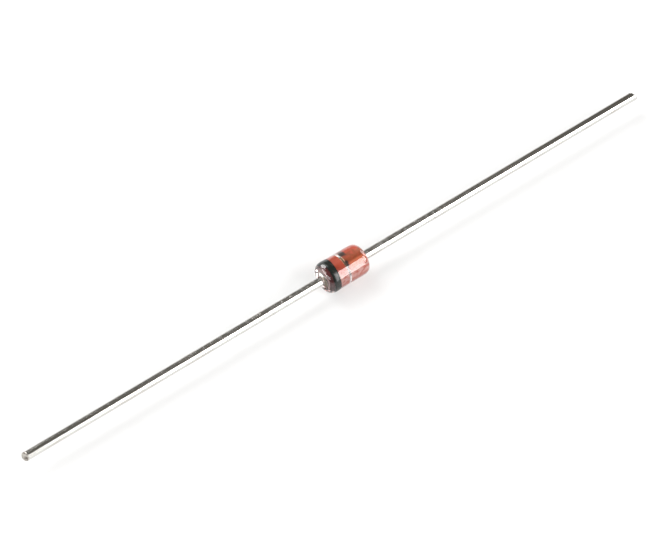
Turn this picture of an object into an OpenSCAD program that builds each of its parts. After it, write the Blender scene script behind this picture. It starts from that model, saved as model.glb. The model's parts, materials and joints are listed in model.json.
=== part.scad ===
// Glass diode with axial leads, lying along X with its cathode towards -X.
// The origin is the middle of the glass, on the lead axis. Sizes are in millimetres.

/* [Glass sleeve] */
// Outside diameter of the sealed glass
glass_d = 2.6; // [2.2:0.05:3.2]
// Length of the glass from end to end
glass_l = 3.92; // [3.4:0.02:5]
// How far the melted shoulder reaches along the glass from each end
shoulder_l = 0.64; // [0.3:0.02:0.8]
// Flat land left between the melted shoulder and the bore
end_land = 0.04; // [0.02:0.01:0.1]

/* [Slugs] */
// Diameter of the two slugs, which the glass is melted on to
slug_d = 1.6; // [1.3:0.05:1.9]
// Length of each slug
slug_l = 1.65; // [1.2:0.05:1.75]
// Edge break on both ends of a slug
slug_chamfer = 0.04; // [0.01:0.01:0.1]
// Ring of slug face left bare around the weld collar
collar_margin = 0.1; // [0.1:0.02:0.24]
// Height of the weld collar on the slug's face
collar_h = 0.3; // [0.15:0.01:0.45]
// How far the slugs and the chip sit from the middle of the glass, towards the anode
stack_shift = 0.06; // [-0.1:0.02:0.1]

/* [Chip] */
// Side of the square silicon chip
die_w = 0.8; // [0.5:0.05:0.95]
// Thickness of the silicon chip
die_t = 0.1; // [0.06:0.01:0.3]
// Diameter of the silver bump on the chip
bump_d = 0.5; // [0.3:0.05:0.7]
// Height of the silver bump
bump_h = 0.03; // [0.02:0.01:0.1]

/* [Leads] */
// Diameter of the tinned wire
lead_d = 0.75; // [0.5:0.01:0.9]
// Length of each lead outside the glass
lead_l = 27.55; // [5:0.05:40]
// How far the weld spread the root of the wire, on the radius
root_flare = 0.06; // [0.02:0.01:0.1]
// How far outside the glass the root has narrowed to the plain wire
root_out = 0.16; // [0.1:0.02:0.4]
// Slant of the sheared tip, away from a square cut
cut_slant = 22; // [0:1:40]
// Turn of the slant about the cathode lead, counted from its top
cathode_cut_roll = 210; // [0:5:355]
// Turn of the slant about the anode lead, counted from its top
anode_cut_roll = 120; // [0:5:355]

/* [Cathode band] */
// Width of the ink ring
band_w = 0.56; // [0.2:0.01:1]
// Thickness of the ink
band_t = 0.02; // [0.01:0.005:0.05]
// Plain glass between the cathode end and the ring
band_inset = 0.54; // [0.2:0.01:1]

/* [Hidden] */
$fn = 96;
// Straight steps in a quarter of a melted edge
arc_steps = 12;
glass_r = glass_d / 2;
slug_r = slug_d / 2;
lead_r = lead_d / 2;
collar_r = slug_r - collar_margin;
glass_end = glass_l / 2;
// Radial depth of the melted shoulder
shoulder_w = glass_r - slug_r - end_land;
// The chip and its bump hold the slugs apart
stack_t = die_t + bump_h;
cathode_face = stack_shift - stack_t / 2;

// Where the inner and the outer face of a slug lie, counted from the middle of the glass towards its own end,
// which is -1 for the cathode and 1 for the anode
function inner_face(end) = end * stack_shift + stack_t / 2;
function outer_face(end) = inner_face(end) + slug_l;

// Points of a quarter ellipse, from the far end of its radial half axis to the far end of its axial one
function quarter(radial, axial) = [
    for (i = [0:arc_steps])
        [radial * cos(90 * i / arc_steps), axial * sin(90 * i / arc_steps)]
];

function shifted(points, offset) = [for (p = points) p + offset];

function flipped(points) = [for (i = [len(points) - 1:-1:0]) [points[i][0], -points[i][1]]];

// A solid of revolution about X: the profile's first number is a radius, its second a place along X
module turned() {
    rotate([0, 90, 0])
        rotate_extrude()
            children();
}

// One end of the diode faces -X and the other +X
module facing(end) {
    if (end < 0)
        mirror([1, 0, 0])
            children();
    else
        children();
}

// The glass as if it had no bore
module glass_outline() {
    shoulder = shifted(quarter(shoulder_w, shoulder_l), [glass_r - shoulder_w, glass_end - shoulder_l]);
    polygon(concat(
        [[0, -glass_end]],
        flipped(shoulder),
        shoulder,
        [[0, glass_end]]
    ));
}

module glass_sleeve() {
    color("mistyrose", 0.4)
        turned()
            difference() {
                glass_outline();
                translate([0, -glass_l])
                    square([slug_r, 2 * glass_l]);
            }
}

// The ink lies on the glass, also where it runs on to the shoulder
module cathode_band() {
    color("black")
        turned()
            intersection() {
                difference() {
                    translate([band_t, 0])
                        glass_outline();
                    glass_outline();
                }
                translate([slug_r, -glass_end + band_inset])
                    square([glass_r, band_w]);
            }
}

// A slug with the collar of metal that the butt weld pushed up around the wire
module slug(end) {
    c = slug_chamfer;
    color("indianred")
        facing(end)
            turned()
                union() {
                    translate([0, inner_face(end)])
                        polygon([
                            [0, 0],
                            [slug_r - c, 0],
                            [slug_r, c],
                            [slug_r, slug_l - c],
                            [slug_r - c, slug_l],
                            [0, slug_l],
                        ]);
                    difference() {
                        translate([0, outer_face(end)])
                            polygon(concat([[0, 0]], quarter(collar_r, collar_h)));
                        wire_profile(end);
                    }
                }
}

// Half the outline of a wire, from the root that the weld spread to where its tip is cut
module wire_profile(end) {
    polygon([
        [0, outer_face(end)],
        [lead_r + root_flare, outer_face(end)],
        [lead_r, glass_end + root_out],
        [lead_r, glass_end + lead_l],
        [0, glass_end + lead_l],
    ]);
}

module cathode_slug() {
    slug(-1);
}

module anode_slug() {
    slug(1);
}

module silicon_die() {
    color("dimgray")
        translate([cathode_face, -die_w / 2, -die_w / 2])
            cube([die_t, die_w, die_w]);
}

module contact_bump() {
    color("gainsboro")
        translate([cathode_face + die_t, 0, 0])
            turned()
                square([bump_d / 2, bump_h]);
}

// The block that shears a lead's tip, which leaves the wire longest on one side
module tip_cut(roll) {
    block = 4 * lead_d;
    rotate([roll, 0, 0])
        translate([glass_end + lead_l, 0, lead_r])
            rotate([0, cut_slant, 0])
                translate([0, -block / 2, -1.5 * block])
                    cube([block, block, 2 * block]);
}

// A wire from the slug's face to its sheared tip
module lead(end, cut_roll) {
    color("silver")
        facing(end)
            difference() {
                turned()
                    wire_profile(end);
                tip_cut(cut_roll);
            }
}

module cathode_lead() {
    lead(-1, cathode_cut_roll);
}

module anode_lead() {
    lead(1, anode_cut_roll);
}

glass_sleeve();
cathode_band();
cathode_slug();
anode_slug();
silicon_die();
contact_bump();
cathode_lead();
anode_lead();
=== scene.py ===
# %% [markdown]
# A glass diode with two wire leads
#
# Two stubby slugs of copper-clad metal are sealed into a sleeve of soft glass, with a chip of silicon
# pressed between them. A straight tinned wire is welded to the outer face of each slug, and a ring of black
# ink marks the cathode end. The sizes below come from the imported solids, so the lesson starts by loading
# them.

# %% Load the solids
import json
import math

import bmesh
import bpy
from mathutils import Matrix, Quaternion, Vector


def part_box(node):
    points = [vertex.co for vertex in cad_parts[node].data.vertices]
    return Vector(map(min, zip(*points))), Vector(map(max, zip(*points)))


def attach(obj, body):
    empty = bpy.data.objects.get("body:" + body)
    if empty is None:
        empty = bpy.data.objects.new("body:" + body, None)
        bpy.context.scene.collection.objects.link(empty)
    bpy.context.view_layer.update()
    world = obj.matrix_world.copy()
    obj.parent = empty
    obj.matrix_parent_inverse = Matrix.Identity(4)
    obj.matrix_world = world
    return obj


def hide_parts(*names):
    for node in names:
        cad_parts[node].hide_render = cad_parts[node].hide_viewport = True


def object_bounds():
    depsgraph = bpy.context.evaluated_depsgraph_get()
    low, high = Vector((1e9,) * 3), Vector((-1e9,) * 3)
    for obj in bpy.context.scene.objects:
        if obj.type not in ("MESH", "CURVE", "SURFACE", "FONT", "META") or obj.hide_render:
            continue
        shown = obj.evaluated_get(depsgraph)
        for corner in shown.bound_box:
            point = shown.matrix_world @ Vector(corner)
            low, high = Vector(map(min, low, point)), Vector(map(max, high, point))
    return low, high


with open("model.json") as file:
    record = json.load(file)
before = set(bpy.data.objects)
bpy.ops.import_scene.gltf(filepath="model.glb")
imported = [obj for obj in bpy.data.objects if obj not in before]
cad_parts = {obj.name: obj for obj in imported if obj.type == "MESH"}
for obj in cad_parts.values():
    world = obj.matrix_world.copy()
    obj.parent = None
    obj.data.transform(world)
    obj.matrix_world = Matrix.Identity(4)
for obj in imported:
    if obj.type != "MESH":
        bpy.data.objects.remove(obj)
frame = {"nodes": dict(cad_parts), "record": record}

cad_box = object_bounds()
MM = 0.001
MICRON = 0.000001
print("solids:", ", ".join(sorted(frame["nodes"])))

# %% [markdown]
# The camera
#
# A long lens looks down on the diode from its cathode end, so both wires cross the picture. The lens and
# the distance decide how much the far wire shrinks: the far one is drawn about an eighth thinner than the
# near one. The camera is aimed by saying which pixel the middle of the glass falls on, and no lens shift is
# needed.

# %% Place the camera
PICTURE_W = 666
PICTURE_H = 555
GLASS_PIXEL = (342.1, 268.6)
CAMERA_AZIMUTH = math.radians(-36.72)
CAMERA_ELEVATION = math.radians(53.4)
CAMERA_DISTANCE = 240 * MM
FOCAL_PIXELS = 3087.0
SENSOR_MM = 36.0


def direction(azimuth, elevation):
    """The unit vector towards something seen from the origin; azimuth 0 is -Y, and +X lies to its right."""
    level = math.cos(elevation)
    return Vector((math.sin(azimuth) * level, -math.cos(azimuth) * level, math.sin(elevation)))


to_camera = direction(CAMERA_AZIMUTH, CAMERA_ELEVATION)
right = Vector((0, 0, 1)).cross(to_camera).normalized()
up = to_camera.cross(right)
pixel = CAMERA_DISTANCE / FOCAL_PIXELS
aim = right * (PICTURE_W / 2 - GLASS_PIXEL[0]) * pixel + up * (GLASS_PIXEL[1] - PICTURE_H / 2) * pixel
lens = bpy.data.cameras.new("camera")
lens.sensor_fit = "HORIZONTAL"
lens.sensor_width = SENSOR_MM
lens.lens = SENSOR_MM * FOCAL_PIXELS / PICTURE_W
lens.clip_start = MM
camera = bpy.data.objects.new("camera", lens)
camera.location = to_camera * CAMERA_DISTANCE
camera.rotation_euler = (aim - camera.location).to_track_quat("-Z", "Y").to_euler()
bpy.context.scene.collection.objects.link(camera)
bpy.context.scene.camera = camera
print(f"camera {CAMERA_DISTANCE / MM:.0f} mm away with a {lens.lens:.0f} mm lens")

# %% [markdown]
# Sums on sockets
#
# A finish is a sum of patterns, and sums read best as Python. This small class holds one socket of a node
# tree. Adding, taking away, multiplying or dividing adds a Math node, and `add` puts in any other node:
# first its settings, then what each of its sockets holds. Shader trees and geometry trees have the same
# Math nodes, so the class serves both.


# %% A socket that can be used in sums
class Val:
    """One socket of a node tree. A Val with no socket is only a place to add nodes."""

    def __init__(self, tree, socket=None):
        self.tree = tree
        self.socket = socket

    def add(self, kind, settings=None, sockets=None, out=0):
        """Add a node, with its settings, then the values or links of its sockets, and return one output."""
        node = self.tree.nodes.new(kind)
        for name, value in (settings or {}).items():
            if name == "stops":
                set_stops(node.color_ramp, value)
            else:
                setattr(node, name, value)
        for name, value in (sockets or {}).items():
            if isinstance(value, Val):
                self.tree.links.new(value.socket, node.inputs[name])
            else:
                node.inputs[name].default_value = value
        return Val(self.tree, node.outputs[out]) if len(node.outputs) else None

    def math(self, operation, first, second=0.0):
        return self.add("ShaderNodeMath", {"operation": operation}, {0: first, 1: second})

    def __add__(self, other):
        return self.math("ADD", self, other)

    def __radd__(self, other):
        return self.math("ADD", other, self)

    def __sub__(self, other):
        return self.math("SUBTRACT", self, other)

    def __rsub__(self, other):
        return self.math("SUBTRACT", other, self)

    def __mul__(self, other):
        return self.math("MULTIPLY", self, other)

    def __rmul__(self, other):
        return self.math("MULTIPLY", other, self)

    def __truediv__(self, other):
        return self.math("DIVIDE", self, other)


def set_stops(ramp, stops):
    """Give a colour ramp its stops, as pairs of a place and a colour."""
    while len(ramp.elements) < len(stops):
        ramp.elements.new(1.0)
    for element, (place, colour) in zip(ramp.elements, stops):
        element.position = place
        element.color = (*colour, 1.0)


def fade(value, start, end, low=0.0, high=1.0):
    """A value that goes smoothly from low to high while another goes from start to end."""
    settings = {"interpolation_type": "SMOOTHSTEP"}
    return value.add("ShaderNodeMapRange", settings, {0: value, 1: start, 2: end, 3: low, 4: high})


def mixed(factor, first, second):
    """A colour between two colours."""
    ends = {}
    for name, colour in ((6, first), (7, second)):
        ends[name] = colour if isinstance(colour, Val) else (*colour, 1.0)
    return factor.add("ShaderNodeMix", {"data_type": "RGBA"}, {0: factor, **ends}, out=2)


# %% [markdown]
# Floor and light
#
# The diode lies on a white sheet in a dim room, among soft boxes. A narrow bright strip and a wide dim
# sheet of light lean together to the right of the camera and reach down to the table: bright tin mirrors
# them as a white stripe along the wire, and the ring of ink as a soft patch. Two boxes further right light
# the rounded anode end. A tall one behind and two on the left light the cathode end, and each draws a pale
# streak on its shoulder. The upper side of the wire mirrors the dim, slightly warm ceiling, and that is its
# dark stripe. Only the floor is lifted to white for the rays that see it, and it still takes the shadow.

# %% Lay the floor
FLOOR_SIZE = 6.0
FLOOR_WHITE = 0.60
SEEN_LIFT = 0.23
MIRRORED_LIFT = 0.20
floor_z = cad_box[0][2]


def add_piece(name, mesh):
    piece = bpy.data.objects.new(name, mesh)
    bpy.context.scene.collection.objects.link(piece)
    return piece


def new_finish(name):
    """A material with an empty node tree, and a place to add nodes to it."""
    material = bpy.data.materials.new(name)
    material.use_nodes = True
    material.node_tree.nodes.clear()
    return material, Val(material.node_tree)


def floor_finish():
    material, nodes = new_finish("white sheet")
    seen = nodes.add("ShaderNodeLightPath", out="Is Camera Ray")
    mirrored_ray = nodes.add("ShaderNodeLightPath", out="Is Glossy Ray")
    bent_ray = nodes.add("ShaderNodeLightPath", out="Is Transmission Ray")
    strength = seen * SEEN_LIFT + nodes.math("MAXIMUM", mirrored_ray, bent_ray) * MIRRORED_LIFT
    paper = nodes.add("ShaderNodeBsdfDiffuse", None, {"Color": (FLOOR_WHITE, FLOOR_WHITE, FLOOR_WHITE, 1)})
    lift = nodes.add("ShaderNodeEmission", None, {"Strength": strength})
    both = nodes.add("ShaderNodeAddShader", None, {0: paper, 1: lift})
    nodes.add("ShaderNodeOutputMaterial", None, {"Surface": both})
    return material


half = FLOOR_SIZE / 2
sheet = bpy.data.meshes.new("floor")
corners = [(-half, -half, floor_z), (half, -half, floor_z), (half, half, floor_z), (-half, half, floor_z)]
sheet.from_pydata(corners, [], [(0, 1, 2, 3)])
sheet.materials.append(floor_finish())
add_piece("floor", sheet)
print(f"floor at z = {floor_z / MM:.2f} mm")

# %% Hang the lights
CEILING_GREY = (0.116, 0.110, 0.099)
HORIZON_TOP = 0.12
BOX_DISTANCE = 0.5
# For each box: azimuth and elevation in degrees, width and height in metres, lean in degrees, radiance
SOFT_BOXES = {
    "strip_box": (25, 26, 0.12, 0.48, -11, 6.2),
    "front_box": (25, 26, 0.20, 0.48, -11, 1.4),
    "right_box": (53, 21.5, 0.31, 0.30, 0, 6.6),
    "side_box": (95, 18, 0.24, 0.26, 0, 3.6),
    "back_box": (-169, 34, 0.28, 0.40, 0, 6.4),
    "left_box": (-113, 26, 0.46, 0.24, 0, 4.8),
    "low_box": (-67.5, 30, 0.37, 0.22, 0, 3.4),
}


def hang_soft_box(name, azimuth, elevation, wide, tall, lean, radiance):
    """A rectangle of even light that faces the diode; radiance 1 is the brightness of white paper."""
    lamp = bpy.data.lights.new(name, "AREA")
    lamp.shape = "RECTANGLE"
    lamp.size = wide
    lamp.size_y = tall
    lamp.energy = radiance * math.pi * wide * tall
    holder = bpy.data.objects.new(name, lamp)
    where = direction(math.radians(azimuth), math.radians(elevation))
    holder.location = where * BOX_DISTANCE
    leaning = Quaternion((0, 0, 1), math.radians(lean))
    holder.rotation_euler = (where.to_track_quat("Z", "Y") @ leaning).to_euler()
    bpy.context.scene.collection.objects.link(holder)
    print(f"{name}: {lamp.energy:.2f} W at azimuth {azimuth}, elevation {elevation}")


for box_name, box in SOFT_BOXES.items():
    hang_soft_box(box_name, *box)

room = bpy.data.worlds.new("dim room")
room.use_nodes = True
room.node_tree.nodes.clear()
air = Val(room.node_tree)
sky = air.add("ShaderNodeTexCoord", out="Generated")
height = air.add("ShaderNodeSeparateXYZ", None, {0: sky}, out="Z")
dimming = {"stops": [(0.0, (1, 1, 1)), (HORIZON_TOP, CEILING_GREY)]}
grey = air.add("ShaderNodeValToRGB", dimming, {0: height})
air.add("ShaderNodeOutputWorld", None, {"Surface": air.add("ShaderNodeBackground", None, {"Color": grey})})
bpy.context.scene.world = room
bpy.context.scene.view_settings.view_transform = "Standard"
print("room lit")

# %% [markdown]
# Bright tin on drawn wire
#
# The leads are copper wire, drawn through a die and dipped in tin. Drawing leaves faint lines along the
# wire, and the tin sets with a fine grain, small pits and dull patches. One noise stretched along X makes
# the lines, a fine round one the pits, and a coarse one the patches. The heat of sealing left a matt bloom
# on the tin, strongest near the glass, so the dark stripe is speckled there: a matt spot is a little less
# metal than the rest.


# %% Tin
TIN_BRIGHT = (0.80, 0.79, 0.76)
TIN_DULL = (0.56, 0.51, 0.46)
TIN_GRAZING = (0.75, 0.75, 0.77, 1.0)
SHEARED_GREY = (0.56, 0.53, 0.49)
SHEARED_DARK = (0.14, 0.12, 0.10)
# The lathe marks how far a point goes along with the cut, and from here on it counts as sheared
SHEARED_MARK = 0.985
# Pattern sizes: along the wire and across it
DRAWN_LINES = (2.5 * MM, 0.06 * MM)
TIN_PITS = (0.16 * MM, 0.09 * MM)
DULL_PATCHES = (1.6 * MM, 0.5 * MM)
BLOOM_MOTTLE = (0.30 * MM, 0.2 * MM)
CUTTER_MARKS = (0.5 * MM, 0.22 * MM)
TIN_RELIEF = 2 * MICRON
# Along X: where the heat of sealing stops showing and where it is strongest
HEAT_FADE = (26 * MM, 3 * MM)


def stretched(nodes, along, across):
    """Object coordinates, counted in pattern lengths along X and across it."""
    place = nodes.add("ShaderNodeTexCoord", out="Object")
    return nodes.add("ShaderNodeMapping", None, {0: place, "Scale": (1 / along, 1 / across, 1 / across)})


def noise(nodes, place, seed, detail=2.0):
    settings = {"noise_dimensions": "4D"}
    sockets = {"Vector": place, "W": seed, "Scale": 1.0, "Detail": detail}
    return nodes.add("ShaderNodeTexNoise", settings, sockets)


def pattern(nodes, size, seed, detail=3.0):
    """Noise whose lumps have a length along X and a width across it."""
    return noise(nodes, stretched(nodes, *size), seed, detail)


def bump(nodes, height, depth):
    return nodes.add("ShaderNodeBump", None, {"Strength": 1.0, "Distance": depth, "Height": height})


def tin_finish():
    material, nodes = new_finish("bright tin")
    lines = pattern(nodes, DRAWN_LINES, seed=1.0, detail=2.0)
    pits = fade(pattern(nodes, TIN_PITS, seed=2.0), 0.58, 0.72)
    patches = fade(pattern(nodes, DULL_PATCHES, seed=3.0), 0.42, 0.68)
    mottle = fade(pattern(nodes, BLOOM_MOTTLE, seed=14.0), 0.44, 0.64)
    tin_colour = mixed(patches * 0.5 + pits * 0.3, TIN_BRIGHT, TIN_DULL)
    mark = nodes.add("ShaderNodeAttribute", {"attribute_name": "sheared"}, out="Fac")
    sheared = fade(mark, SHEARED_MARK, 1.0)
    cutter_marks = fade(pattern(nodes, CUTTER_MARKS, seed=13.0), 0.40, 0.62)
    colour = mixed(sheared, tin_colour, mixed(cutter_marks, SHEARED_GREY, SHEARED_DARK))
    place = nodes.add("ShaderNodeTexCoord", out="Object")
    out = nodes.math("ABSOLUTE", nodes.add("ShaderNodeSeparateXYZ", None, {0: place}, out="X"))
    heated = fade(out, *HEAT_FADE, 0.15, 2.2)
    bloom = (patches * 0.02 + mottle * 0.07) * heated
    rough = 0.10 + lines * 0.06 + pits * 0.08 + patches * 0.06 + mottle * 0.05 * heated + sheared * 0.20
    shape = lines * 0.6 - pits * 0.4 + cutter_marks * sheared * 6
    surface = nodes.add("ShaderNodeBsdfPrincipled", None, {
        "Base Color": colour, "Metallic": 1 - bloom, "Roughness": rough, "Specular Tint": TIN_GRAZING,
        "Normal": bump(nodes, shape, TIN_RELIEF)})
    nodes.add("ShaderNodeOutputMaterial", None, {"Surface": surface})
    return material


tin = tin_finish()
print("made", tin.name)

# %% [markdown]
# Red oxide on the slugs
#
# The glass sticks to the slugs because their copper skin is oxidised first, and the oxide shows through the
# glass as a brick red. Where it is thick it turns brown, in streaks along the top of the anode slug, and
# where it is thin it is orange. Low on the front the red is paled to pink: partly a paler oxide, partly a
# painted reflection of the white floor in the glass. Under and beyond the ink ring the cathode slug is
# painted almost black, then maroon towards its end, as painted shade of the ring. Its rim carries a
# painted reflection, a pale rose sheen of the lamps behind, that climbs a little way up the bore on the lit
# side. Heat has scorched two spots beside the chip. The inner edges are plated, and show as two pale lines
# along the gap, darker low on the front. The weld collar stands in the open end of the sleeve, where the
# tin dip has covered it: its upper side is painted white as painted light, and its lower side grey as
# painted shade. Turns about the wire count from +Y over the top, so a zone of the skin is told apart by
# how squarely it faces one turn.


# %% Oxide
OXIDE_RED = (0.37, 0.048, 0.019)
OXIDE_BROWN = (0.20, 0.038, 0.007)
OXIDE_ORANGE = (0.46, 0.105, 0.040)
# Painted shade of the ink ring on the cathode slug: maroon, and almost black next to the ring
RING_SHADE_MAROON = (0.11, 0.024, 0.026)
RING_SHADOW_BLACK = (0.028, 0.010, 0.011)
# Painted reflection: a pale rose sheen on the cathode slug's rim, on the side that faces the lamps behind
ROSE_SHEEN = (0.29, 0.195, 0.19)
# Low on the front: partly a paler oxide, partly a painted reflection of the white floor
PALE_OXIDE_AND_SHEEN = (0.50, 0.25, 0.22)
SCORCH = (0.026, 0.014, 0.010)
PLATED = (0.56, 0.40, 0.27)
PLATED_DARKER = (0.22, 0.17, 0.15)
# Painted light and painted shade on the weld collar: white on its upper side, grey below
COLLAR_LIT_WHITE = (0.93, 0.92, 0.90)
COLLAR_SHADE_GREY = (0.24, 0.21, 0.17)
LIT_SIDE_TURN = math.radians(30)
BROWN_TURN = math.radians(95)
ORANGE_TURN = math.radians(126)
LOW_FRONT_TURN = math.radians(170)
RAGGED_EDGE = (0.2 * MM, 0.2 * MM)
OXIDE_CLOUDS = (0.3 * MM, 0.2 * MM)
OXIDE_SPECKS = (0.10 * MM, 0.10 * MM)
OXIDE_RELIEF = 4 * MICRON
PLATED_RIM = 0.05 * MM
SHEEN_CLIMB = 0.15 * MM
SHEEN_SOFT = 0.04 * MM
SPOT_SOFT = 0.03 * MM
# How far the edge of a zone wanders along X
SHADE_EDGE_WANDER = 0.2 * MM
SHEEN_WANDER = 0.1 * MM
SPOT_WANDER = 0.3 * MM
# Places along X where one colour gives way to another, counted from the middle of the stack
BROWN_FADE = (-0.25 * MM, 0.15 * MM)
ORANGE_FADE = (0.0, 0.4 * MM)
# Where the red gives way to the painted shade of the ring, and where the darkest painted shade next to the
# ring gives way to maroon
RING_SHADE_FADE = (-1.00 * MM, -1.25 * MM)
DEEP_SHADOW_FADE = (-1.36 * MM, -1.52 * MM)
# For each scorched spot: its turn, half its width as an angle, and where it starts and ends along X
SCORCHED_SPOTS = (
    (math.radians(41), math.radians(26), 0.08 * MM, 0.58 * MM),
    (math.radians(110), math.radians(15), -0.10 * MM, 0.26 * MM),
)
slug_low, slug_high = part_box("anode_slug")
slug_r = slug_high.z
stack_x = (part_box("cathode_slug")[1].x + slug_low.x) / 2
slug_inner = slug_low.x - stack_x
lead_root, lead_tip = (corner.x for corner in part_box("anode_lead"))
slug_outer = lead_root - stack_x
# The tin starts just outside the slug's face and stops short of the bore
TIN_FADE = (slug_outer + 0.02 * MM, slug_outer + 0.06 * MM)
WALL_FADE = (0.98 * slug_r, 0.94 * slug_r)


def facing(nodes, place, turn):
    """How squarely a spot on a slug faces one turn about the wire: 1 straight on, -1 on the far side."""
    towards = (0, math.cos(turn) / slug_r, math.sin(turn) / slug_r)
    settings = {"operation": "DOT_PRODUCT"}
    return nodes.add("ShaderNodeVectorMath", settings, {0: place, 1: towards}, out="Value")


def between(value, low, high, soft):
    """1 where a value lies between two others, with soft edges."""
    return fade(value, low - soft, low + soft) * fade(value, high + soft, high - soft)


def oxide_finish():
    material, nodes = new_finish("red oxide")
    place = nodes.add("ShaderNodeTexCoord", out="Object")
    x = nodes.add("ShaderNodeSeparateXYZ", None, {0: place}, out="X") - stack_x
    out = nodes.math("ABSOLUTE", x)
    ragged = pattern(nodes, RAGGED_EDGE, seed=10.0) - 0.5
    plated = fade(out, slug_inner + PLATED_RIM, slug_inner + 0.6 * PLATED_RIM)
    # Painted shade: 1 on the lower side of the collar, which is painted grey; the upper side is painted
    # white as painted light
    shaded_side = fade(facing(nodes, place, LIT_SIDE_TURN) + ragged * 0.3, 0.36, 0.18)
    across = nodes.add("ShaderNodeVectorMath", {"operation": "MULTIPLY"}, {0: place, 1: (0, 1, 1)})
    radius = nodes.add("ShaderNodeVectorMath", {"operation": "LENGTH"}, {0: across}, out="Value")
    dipped = fade(out, *TIN_FADE) * fade(radius, *WALL_FADE)
    tinned = nodes.math("MAXIMUM", plated * 0.3, dipped)

    clouds = pattern(nodes, OXIDE_CLOUDS, seed=24.0, detail=4.0)
    specks = fade(pattern(nodes, OXIDE_SPECKS, seed=5.0, detail=2.0), 0.55, 0.75)
    streaks = fade(facing(nodes, place, BROWN_TURN) + (clouds - 0.5) * 0.9, 0.72, 1.05)
    brown = streaks * fade(x, *BROWN_FADE, 0.15, 1.0) + specks * 0.3
    orange = fade(facing(nodes, place, ORANGE_TURN) + ragged * 0.05, 0.94, 0.99) * fade(x, *ORANGE_FADE)
    # Pale pink low on the front: partly a paler oxide, partly a painted reflection of the white floor
    pale_and_sheen = fade(facing(nodes, place, LOW_FRONT_TURN), 0.78, 0.95) * fade(clouds, 0.62, 0.46)
    red = mixed(orange * 0.8, mixed(brown, OXIDE_RED, OXIDE_BROWN), OXIDE_ORANGE)
    red = mixed(pale_and_sheen, red, PALE_OXIDE_AND_SHEEN)
    # Painted shade: the cathode slug turns almost black next to the ink ring, then maroon towards its end
    ring_shade = fade(x, *RING_SHADE_FADE)
    painted_end = mixed(fade(x + ragged * SHADE_EDGE_WANDER, *DEEP_SHADOW_FADE), RING_SHADOW_BLACK, RING_SHADE_MAROON)
    # Painted reflection: the rose sheen climbs the cathode rim on its lit upper side
    climb = (1 - shaded_side) * SHEEN_CLIMB
    rim = fade(out + climb + ragged * SHEEN_WANDER, slug_outer, slug_outer + SHEEN_SOFT)
    painted_end = mixed(rim, painted_end, ROSE_SHEEN)
    # The plated edges are darker low on the front
    edge = mixed(fade(facing(nodes, place, LOW_FRONT_TURN), 0.30, 0.75), PLATED, PLATED_DARKER)
    skin = mixed(plated, mixed(ring_shade, red, painted_end), edge)
    for turn, half_width, low, high in SCORCHED_SPOTS:
        ends = (math.cos(1.3 * half_width), math.cos(0.7 * half_width))
        near = fade(facing(nodes, place, turn) + ragged * 0.12, *ends)
        skin = mixed(near * between(x + ragged * SPOT_WANDER, low, high, SPOT_SOFT), skin, SCORCH)
    # The tin on the collar: painted light on its upper side, painted shade below
    colour = mixed(dipped, skin, mixed(shaded_side, COLLAR_LIT_WHITE, COLLAR_SHADE_GREY))
    rough = fade(dipped, 0, 1, 0.42, 0.55) + specks * 0.12
    surface = nodes.add("ShaderNodeBsdfPrincipled", None, {
        "Base Color": colour, "Metallic": tinned * 0.8 + 0.2, "Roughness": rough,
        "Normal": bump(nodes, clouds + specks * 0.3, OXIDE_RELIEF)})
    nodes.add("ShaderNodeOutputMaterial", None, {"Surface": surface})
    return material


oxide = oxide_finish()
print("made", oxide.name)

# %% [markdown]
# Clear glass
#
# The sleeve is real glass: it bends light, so the slugs inside look larger than they are, and it mirrors
# the soft boxes on its skin. Sealing glass is rich in lead, so it bends light more than window glass, and a
# clear coat adds the gleam of its fire-polished skin. A renderer would let it throw a full shadow on the
# slugs, so for shadow rays the glass gives way to a clear shader, and the lamps reach what is inside.
# Melting leaves the skin a little wavy.


# %% Glass
GLASS_TINT = (1.0, 0.965, 0.955, 1.0)
GLASS_SHADE = (0.82, 0.79, 0.78, 1.0)
GLASS_BEND = 1.57
GLASS_GLEAM = 0.6
MELT_WAVES = (0.9 * MM, 0.6 * MM)
WAVE_HEIGHT = 6 * MICRON


def glass_finish():
    material, nodes = new_finish("clear glass")
    waves = pattern(nodes, MELT_WAVES, seed=6.0, detail=1.0)
    body = nodes.add("ShaderNodeBsdfPrincipled", None, {
        "Base Color": GLASS_TINT, "Roughness": 0.0, "IOR": GLASS_BEND, "Transmission Weight": 1.0,
        "Coat Weight": GLASS_GLEAM, "Coat Roughness": 0.0, "Normal": bump(nodes, waves, WAVE_HEIGHT)})
    open_way = nodes.add("ShaderNodeBsdfTransparent", None, {"Color": GLASS_SHADE})
    shade = nodes.add("ShaderNodeLightPath", out="Is Shadow Ray")
    both = nodes.add("ShaderNodeMixShader", None, {0: shade, 1: body, 2: open_way})
    nodes.add("ShaderNodeOutputMaterial", None, {"Surface": both})
    return material


glass = glass_finish()
print("made", glass.name)

# %% [markdown]
# Ink, silicon and silver
#
# The ring is printed in thick black ink and baked, so it is glossy with a faint orange peel. The chip is
# sawn from a polished wafer, and the saw leaves fine lines on its sides. The bump on it is plated silver
# with a fine grain.


# %% Ink, silicon and silver
INK_BLACK = (0.010, 0.014, 0.012)
INK_THIN = (0.060, 0.045, 0.038)
SILICON_GREY = (0.20, 0.21, 0.24)
SILICON_DARK = (0.09, 0.09, 0.11)
SILVER_BRIGHT = (0.90, 0.88, 0.85)
SILVER_DULL = (0.70, 0.67, 0.62)
INK_PEEL = (0.08 * MM, 0.08 * MM)
INK_CLOUDS = (0.35 * MM, 0.6 * MM)
PEEL_RELIEF = 1.5 * MICRON
SAW_LINES = (0.012 * MM, 0.5 * MM)
SILVER_GRAIN = (0.03 * MM, 0.03 * MM)
GRAIN_RELIEF = 2 * MICRON


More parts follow.
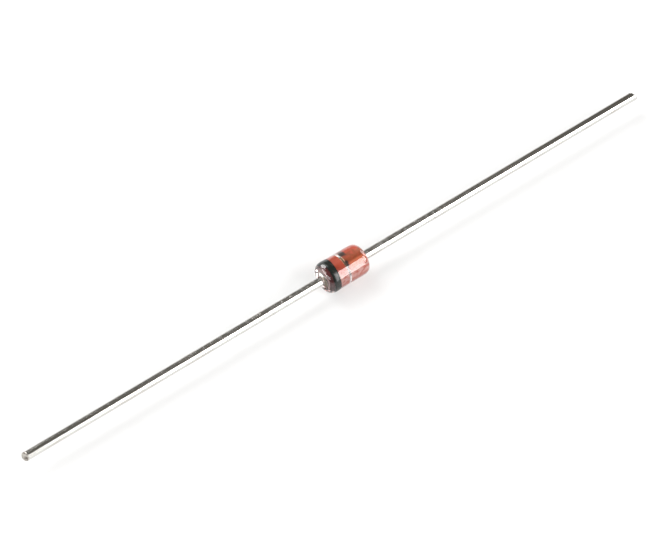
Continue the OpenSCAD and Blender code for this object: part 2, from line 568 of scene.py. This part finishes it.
def ink_finish():
    material, nodes = new_finish("black ink")
    peel = pattern(nodes, INK_PEEL, seed=7.0, detail=2.0)
    thin = fade(pattern(nodes, INK_CLOUDS, seed=8.0), 0.52, 0.75)
    surface = nodes.add("ShaderNodeBsdfPrincipled", None, {
        "Base Color": mixed(thin * 0.6, INK_BLACK, INK_THIN), "Roughness": 0.16 + peel * 0.12,
        "Normal": bump(nodes, peel, PEEL_RELIEF)})
    nodes.add("ShaderNodeOutputMaterial", None, {"Surface": surface})
    return material


def grained_metal(name, bright, dull, grain_size, roughness, metallic):
    """A metal whose grain goes from bright to dull, with the same grain as relief."""
    material, nodes = new_finish(name)
    grain = pattern(nodes, grain_size, seed=9.0)
    surface = nodes.add("ShaderNodeBsdfPrincipled", None, {
        "Base Color": mixed(fade(grain, 0.35, 0.7), bright, dull), "Metallic": metallic,
        "Roughness": roughness + grain * 0.15, "Normal": bump(nodes, grain, GRAIN_RELIEF)})
    nodes.add("ShaderNodeOutputMaterial", None, {"Surface": surface})
    return material


ink = ink_finish()
silicon = grained_metal("sawn silicon", SILICON_GREY, SILICON_DARK, SAW_LINES,
                        roughness=0.25, metallic=0.6)
silver = grained_metal("plated silver", SILVER_BRIGHT, SILVER_DULL, SILVER_GRAIN,
                       roughness=0.2, metallic=1.0)
print("made", ink.name, silicon.name, silver.name)

# %% [markdown]
# A lathe made of nodes
#
# Every piece but the chip is round about the wire, so one Geometry Nodes tree turns them all. A piece
# starts as its profile: a chain of points with a place along X and a height above the axis. The tree lays
# out a grid with one row for each point and one column for each step of the turn, and moves each grid point
# to its place. Three numbers on each profile point say how freely the skin may swell or spread there, how
# freely it may waver along X, and how far it goes along with a slant. Ink that spreads on to the round
# shoulder of the glass has to follow it down, so the tree knows that shoulder's shape.


# %% The lathe
SEAM = 0.05 * MICRON
DRIFT_SEED = 50
# How squarely a spot faces the turn of the spread, where the spread starts and where it is full
SPREAD_EDGES = (0.66, 0.92)
LATHE_NUMBERS = (
    "Swell", "Swell Length", "Waver", "Seed",
    "Slant", "Slant Turn", "Slant Radius",
    "Spread", "Spread Turn", "Shoulder Start", "Shoulder Length", "Shoulder Depth",
)


def lathe_inputs(tree):
    """Name the inputs of the tree, and return the node that hands them over."""
    tree.interface.new_socket("Profile", in_out="INPUT", socket_type="NodeSocketGeometry")
    tree.interface.new_socket("Steps", in_out="INPUT", socket_type="NodeSocketInt")
    for name in LATHE_NUMBERS:
        tree.interface.new_socket(name, in_out="INPUT", socket_type="NodeSocketFloat")
    tree.interface.new_socket("Finish", in_out="INPUT", socket_type="NodeSocketMaterial")
    tree.interface.new_socket("Piece", in_out="OUTPUT", socket_type="NodeSocketGeometry")
    return tree.nodes.new("NodeGroupInput")


def lathe_tree():
    tree = bpy.data.node_groups.new("lathe", "GeometryNodeTree")
    tree.is_modifier = True
    given = lathe_inputs(tree)
    nodes = Val(tree)
    asked = {socket.name: Val(tree, socket) for socket in given.outputs if socket.name}
    profile, steps, seed = asked["Profile"], asked["Steps"], asked["Seed"]

    count = nodes.add("GeometryNodeAttributeDomainSize", {"component": "MESH"}, {0: profile})
    grid = nodes.add("GeometryNodeMeshGrid", None, {"Vertices X": count, "Vertices Y": steps + 1})
    number = nodes.add("GeometryNodeInputIndex")
    row = nodes.math("FLOOR", number / (steps + 1))
    turn = nodes.math("MODULO", number, steps + 1) * (2 * math.pi) / steps

    def of_profile(value, kind):
        return nodes.add("GeometryNodeSampleIndex", {"data_type": kind}, {0: profile, 1: value, 2: row})

    def of_mark(name):
        mark = nodes.add("GeometryNodeInputNamedAttribute", {"data_type": "FLOAT"}, {"Name": name})
        return of_profile(mark, "FLOAT")

    point = of_profile(nodes.add("GeometryNodeInputPosition"), "FLOAT_VECTOR")
    x = nodes.add("ShaderNodeSeparateXYZ", None, {0: point}, out="X")
    r = nodes.add("ShaderNodeSeparateXYZ", None, {0: point}, out="Z")
    y_share = nodes.math("COSINE", turn)
    z_share = nodes.math("SINE", turn)
    around = nodes.add("ShaderNodeCombineXYZ", None, {0: x, 1: r * y_share, 2: r * z_share})
    lengths = {0: around, 1: asked["Swell Length"]}
    place = nodes.add("ShaderNodeVectorMath", {"operation": "DIVIDE"}, lengths)
    lump = noise(nodes, place, seed)
    drift = noise(nodes, place, seed + DRIFT_SEED)
    cut = r * nodes.math("COSINE", turn - asked["Slant Turn"]) - asked["Slant Radius"]
    spread = fade(nodes.math("COSINE", turn - asked["Spread Turn"]), *SPREAD_EDGES) * asked["Spread"]
    new_x = x + (drift - 0.5) * 2 * asked["Waver"] * of_mark("waver")
    new_x = new_x + cut * asked["Slant"] * of_mark("cut") - spread * of_mark("swell")

    def shoulder(place):
        """How far the glass stands out at a place along X, above the foot of its shoulder."""
        into = nodes.math("MAXIMUM", nodes.math("ABSOLUTE", place) - asked["Shoulder Start"], 0.0)
        share = nodes.math("MINIMUM", into / asked["Shoulder Length"], 1.0)
        return nodes.math("SQRT", 1 - share * share) * asked["Shoulder Depth"]

    new_r = r + (lump - 0.5) * 2 * asked["Swell"] * of_mark("swell") + shoulder(new_x) - shoulder(x)
    spot = nodes.add("ShaderNodeCombineXYZ", None, {0: new_x, 1: new_r * y_share, 2: new_r * z_share})
    marking = {0: grid, "Name": "sheared", "Value": of_mark("cut")}
    marked = nodes.add("GeometryNodeStoreNamedAttribute", {"data_type": "FLOAT"}, marking)
    turned = nodes.add("GeometryNodeSetPosition", None, {0: marked, "Position": spot})
    closed = nodes.add("GeometryNodeMergeByDistance", None, {0: turned, "Distance": SEAM})
    smooth = nodes.add("GeometryNodeSetShadeSmooth", None, {0: closed})
    real = nodes.add("GeometryNodeRealizeInstances", None, {0: smooth})
    finished = nodes.add("GeometryNodeSetMaterial", None, {0: real, "Material": asked["Finish"]})
    nodes.add("NodeGroupOutput", None, {0: finished})
    return tree


lathe = lathe_tree()
print("lathe inputs:", ", ".join(LATHE_NUMBERS))


# %% Turning a profile
CREASE = math.radians(35)


def tidy(mesh):
    """Turn all faces outwards and mark the creases."""
    shape = bmesh.new()
    shape.from_mesh(mesh)
    bmesh.ops.recalc_face_normals(shape, faces=shape.faces)
    shape.to_mesh(mesh)
    shape.free()
    mesh.set_sharp_from_angle(angle=CREASE)


def turn_piece(name, profile, finish, steps=64, **asked):
    """Turn a profile, a list of (x, r, swell, waver, cut), into a plain mesh object at the origin."""
    chain = bpy.data.meshes.new(name)
    chain.from_pydata([(point[0], 0, point[1]) for point in profile], [], [])
    for mark, column in (("swell", 2), ("waver", 3), ("cut", 4)):
        numbers = chain.attributes.new(mark, "FLOAT", "POINT").data
        numbers.foreach_set("value", [point[column] for point in profile])
    blank = add_piece(name + "_blank", chain)
    modifier = blank.modifiers.new("lathe", "NODES")
    modifier.node_group = lathe
    asked = {"Steps": steps, "Finish": finish, "Swell Length": MM, "Shoulder Length": MM, **asked}
    for socket in lathe.interface.items_tree:
        if socket.in_out == "INPUT" and socket.name in asked:
            modifier[socket.identifier] = asked[socket.name]
    depsgraph = bpy.context.evaluated_depsgraph_get()
    mesh = bpy.data.meshes.new_from_object(blank.evaluated_get(depsgraph))
    bpy.data.objects.remove(blank)
    mesh.name = name
    tidy(mesh)
    piece = add_piece(name, mesh)
    print(f"{name}: {len(mesh.vertices)} points, {len(mesh.polygons)} faces")
    return piece


def settle(piece, node):
    """Let a piece stand for a CAD node of the only body."""
    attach(piece, "root")
    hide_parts(node)


def quarter(radial, axial, steps=6):
    """Points of a quarter ellipse, from its radial end to its axial end, as (along, out) pairs."""
    angles = [math.pi / 2 * i / steps for i in range(steps + 1)]
    return [(axial * math.sin(a), radial * math.cos(a)) for a in angles]


def mirrored(profile):
    return [(-x, *rest) for x, *rest in profile]


def at_end(profile, side):
    """Lay a profile of the stack's anode half at the anode end, side 1, or at the cathode end, side -1."""
    return [(stack_x + side * x, *rest) for x, *rest in profile]


# %% [markdown]
# The glass sleeve
#
# The sleeve starts as a cut of tube. In the furnace it shrinks on to the slugs, and its ends melt into
# round shoulders with a small bead at the mouth. The profile runs along the outside, over one bead, back
# through the bore and over the other bead, so the turned piece is a closed ring. Only the outside is free
# to swell.

# %% Turn the glass
SHOULDER_LENGTH = 0.64 * MM
MOUTH_BEAD = 0.04 * MM
BEAD_FREEDOM = 0.4
GLASS_STEPS = 144
STRAIGHT_RINGS = 12
GLASS_SWELL = 0.012 * MM
GLASS_WAVER = 0.015 * MM
glass_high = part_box("glass_sleeve")[1]
glass_end = glass_high.x
glass_r = glass_high.z
shoulder_w = glass_r - slug_r - MOUTH_BEAD


def shoulder_profile():
    """Half the outside of the glass, from the middle of its length to the bore of its +X end."""
    start = glass_end - SHOULDER_LENGTH
    base = glass_r - shoulder_w
    points = [(start * i / STRAIGHT_RINGS, glass_r, 1, 1, 0) for i in range(STRAIGHT_RINGS)]
    for along, out in quarter(shoulder_w, SHOULDER_LENGTH, steps=24):
        points.append((start + along, base + out, 1, 1, 0))
    for along, out in reversed(quarter(MOUTH_BEAD, MOUTH_BEAD)[:-1]):
        points.append((glass_end - MOUTH_BEAD + along, base - out, BEAD_FREEDOM, BEAD_FREEDOM, 0))
    return points


def glass_profile():
    half_outside = shoulder_profile()
    other_half = mirrored(half_outside)[::-1]
    outline = other_half + half_outside[1:]
    return outline + [outline[0]]


sleeve = turn_piece("glass_tube", glass_profile(), glass, GLASS_STEPS,
                    Swell=GLASS_SWELL, Waver=GLASS_WAVER, Seed=3.0)
settle(sleeve, "glass_sleeve")

# %% [markdown]
# The slugs
#
# Each slug is a short plug with broken edges. Its side is sunk a few microns into the glass, because the
# seal has no air in it: a ray inside the glass has to meet the oxide before it meets the bore. The weld
# pushed a collar of metal up around the wire, which is the lumpy ring in the open end. The glass sagged
# unevenly in the furnace, so the stack of slugs and chip sits a little towards the anode, and places in it
# count from its own middle. At the cathode end the oxide wets the bore, so the rim of the slug ends in a
# thin lip that climbs along the glass.

# %% Turn the slugs
SEAL_DEPTH = 4 * MICRON
SLUG_STEPS = 128
SLUG_CHAMFER = 0.02 * MM
RIM_CLIMB = 0.11 * MM
COLLAR_R = 0.70 * MM
COLLAR_H = 0.30 * MM
COLLAR_SWELL = 0.03 * MM
COLLAR_WAVER = 0.05 * MM
COLLAR_LUMPS = 0.4 * MM
COLLAR_FOOT = 0.3 * COLLAR_H
EDGE_FREEDOM = 0.4
ROOT_FLARE = 0.06 * MM
ROOT_OUT = 0.16 * MM
lead_r = frame["record"]["mounts"][0]["dims"]["r_mm"] * MM


def root_end(side):
    """Where the spread root has narrowed to the plain wire, counted from the middle of the stack."""
    return glass_end + ROOT_OUT - side * stack_x


def root_r(x, side):
    """Radius of the wire at its spread root."""
    return lead_r + ROOT_FLARE * max(0.0, (root_end(side) - x) / (root_end(side) - slug_outer))


def slug_profile(side):
    wall = slug_r + SEAL_DEPTH
    plug = [
        (slug_inner, 0.0, 0, 0, 0),
        (slug_inner, wall - SLUG_CHAMFER, 0, EDGE_FREEDOM, 0),
        (slug_inner + SLUG_CHAMFER, wall, 0, EDGE_FREEDOM, 0),
    ]
    if side < 0:
        rim = [(RIM_CLIMB, 0.0), (RIM_CLIMB, SLUG_CHAMFER), (SLUG_CHAMFER, 3 * SLUG_CHAMFER)]
    else:
        rim = [(-SLUG_CHAMFER, 0.0), (0.0, SLUG_CHAMFER)]
    plug += [(slug_outer + along, wall - inwards, 0, 0, 0) for along, inwards in rim]
    collar = []
    for along, out in quarter(COLLAR_R, COLLAR_H, steps=20):
        x = slug_outer + along
        if out < root_r(x, side):
            break
        loose = min(1.0, along / COLLAR_FOOT)
        collar.append((x, out, loose, loose, 0))
    top = collar[-1][0]
    seat = [(top, root_r(top, side)), (slug_outer, root_r(slug_outer, side)), (slug_outer, 0.0)]
    return plug + collar + [(x, r, 0, 0, 0) for x, r in seat]


for end, side, seed in (("cathode", -1, 11.0), ("anode", 1, 12.0)):
    slug = turn_piece(f"{end}_plug", at_end(slug_profile(side), side), oxide, SLUG_STEPS,
                      Swell=COLLAR_SWELL, Waver=COLLAR_WAVER, Seed=seed, **{"Swell Length": COLLAR_LUMPS})
    settle(slug, f"{end}_slug")

# %% [markdown]
# The leads
#
# A lead is round wire with a spread root inside the collar, and a tip that side cutters left slanted. The
# tip is the end of the same profile: its rim and its face are marked as cut, and the lathe slides those
# points along the wire, by more on one side than on the other.

# %% Turn the leads
TIP_RIM = 0.03 * MM
CUT_SLANT = math.radians(22)
CUT_LONG_SIDES = {"cathode": math.radians(300), "anode": math.radians(210)}
LEAD_RINGS = 90
WIRE_SWELL = 0.004 * MM
# Less than SHEARED_MARK, so the sheared finish stops at the rim
NEARLY_CUT = 0.98


def lead_profile(side):
    tip = lead_tip - side * stack_x
    rim_start = tip - TIP_RIM
    points = [(slug_outer, 0.0, 0, 0, 0), (slug_outer, root_r(slug_outer, side), 0, 0, 0)]
    plain_start = root_end(side)
    plain_end = rim_start - 2 * lead_r
    for i in range(LEAD_RINGS + 1):
        points.append((plain_start + (plain_end - plain_start) * i / LEAD_RINGS, lead_r, 1, 0, 0))
    points.append((rim_start - TIP_RIM, lead_r, 0, 0, NEARLY_CUT))
    for along, out in quarter(TIP_RIM, TIP_RIM):
        points.append((rim_start + along, lead_r - TIP_RIM + out, 0, 0, 1))
    return points + [(tip, 0.0, 0, 0, 1)]


for end, side in (("cathode", -1), ("anode", 1)):
    cut = {"Slant": side * math.tan(CUT_SLANT), "Slant Turn": CUT_LONG_SIDES[end], "Slant Radius": lead_r}
    lead = turn_piece(f"{end}_wire", at_end(lead_profile(side), side), tin,
                      Swell=WIRE_SWELL, Seed=20.0 + side, **cut)
    settle(lead, f"{end}_lead")

# %% [markdown]
# The ring of ink
#
# The ring follows the glass on to its shoulder. Ink has a body of its own, so the ring is a thin closed
# band: its inner side is sunk into the glass by a few microns, for the same reason as the slugs, and its
# edges waver as printed edges do. It was rolled on a little askew, and at the back the wet ink crept
# further on to the shoulder before it was baked.

# %% Turn the ring
INK_SINK = 5 * MICRON
INK_CROWN = 0.9
RING_WAVER = 0.02 * MM
RING_STEPS = 20
INK_CREEP = 0.34 * MM
CREEP_TURN = math.radians(26)
RING_SLANT = math.radians(3.2)
SLANT_TURN = math.radians(31)
band_low, band_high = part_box("cathode_band")
ink_t = band_high.z - glass_r


def glass_radius(x):
    """Radius of the outside of the glass at a place along X."""
    into = abs(x) - (glass_end - SHOULDER_LENGTH)
    if into <= 0:
        return glass_r
    return glass_r - shoulder_w + shoulder_w * math.sqrt(max(0.0, 1 - (into / SHOULDER_LENGTH) ** 2))


def ring_profile():
    wide = band_high.x - band_low.x
    outside = []
    inside = []
    for i in range(RING_STEPS + 1):
        across = i / RING_STEPS
        x = band_low.x + wide * across
        body = ink_t * (1 - INK_CROWN * (2 * across - 1) ** 2)
        outside.append((x, glass_radius(x) + body, 1 - across, 1, 1))
        inside.append((x, glass_radius(x) - INK_SINK, 1 - across, 1, 1))
    return outside + inside[::-1] + [outside[0]]


creep = {
    "Spread": INK_CREEP, "Spread Turn": CREEP_TURN, "Shoulder Start": glass_end - SHOULDER_LENGTH,
    "Shoulder Length": SHOULDER_LENGTH, "Shoulder Depth": shoulder_w,
    "Slant": math.tan(RING_SLANT), "Slant Turn": SLANT_TURN, "Slant Radius": glass_r}
ring = turn_piece("ink_ring", ring_profile(), ink, GLASS_STEPS, Waver=RING_WAVER, Seed=7.0, **creep)
settle(ring, "cathode_band")

# %% [markdown]
# The chip and its bump
#
# The chip shows as a dark sliver in the gap between the slugs. It is a small square block with its edges
# broken, and the silver bump on its anode side is a low button.

# %% Make the chip and the bump
CHIP_EDGE = 0.012 * MM
BUTTON_ROUNDING = 0.4
chip_low, chip_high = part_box("silicon_die")
bump_low, bump_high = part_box("contact_bump")


def chip_mesh():
    block = bmesh.new()
    bmesh.ops.create_cube(block, size=1.0)
    size = chip_high - chip_low
    middle = (chip_high + chip_low) / 2
    bmesh.ops.scale(block, vec=size, verts=block.verts)
    bmesh.ops.translate(block, vec=middle, verts=block.verts)
    bmesh.ops.bevel(block, geom=block.edges[:], offset=CHIP_EDGE, segments=2, affect="EDGES")
    mesh = bpy.data.meshes.new("chip")
    block.to_mesh(mesh)
    block.free()
    mesh.materials.append(silicon)
    return mesh


chip = add_piece("chip", chip_mesh())
settle(chip, "silicon_die")
bump_r = bump_high.z
bump_rim = (bump_high.x - bump_low.x) * BUTTON_ROUNDING
button = [(bump_low.x, 0.0, 0, 0, 0), (bump_low.x, bump_r, 0, 0, 0)]
for along, out in quarter(bump_rim, bump_rim):
    button.append((bump_high.x - bump_rim + along, bump_r - bump_rim + out, 0, 0, 0))
button.append((bump_high.x, 0.0, 0, 0, 0))
settle(turn_piece("silver_button", button, silver), "contact_bump")
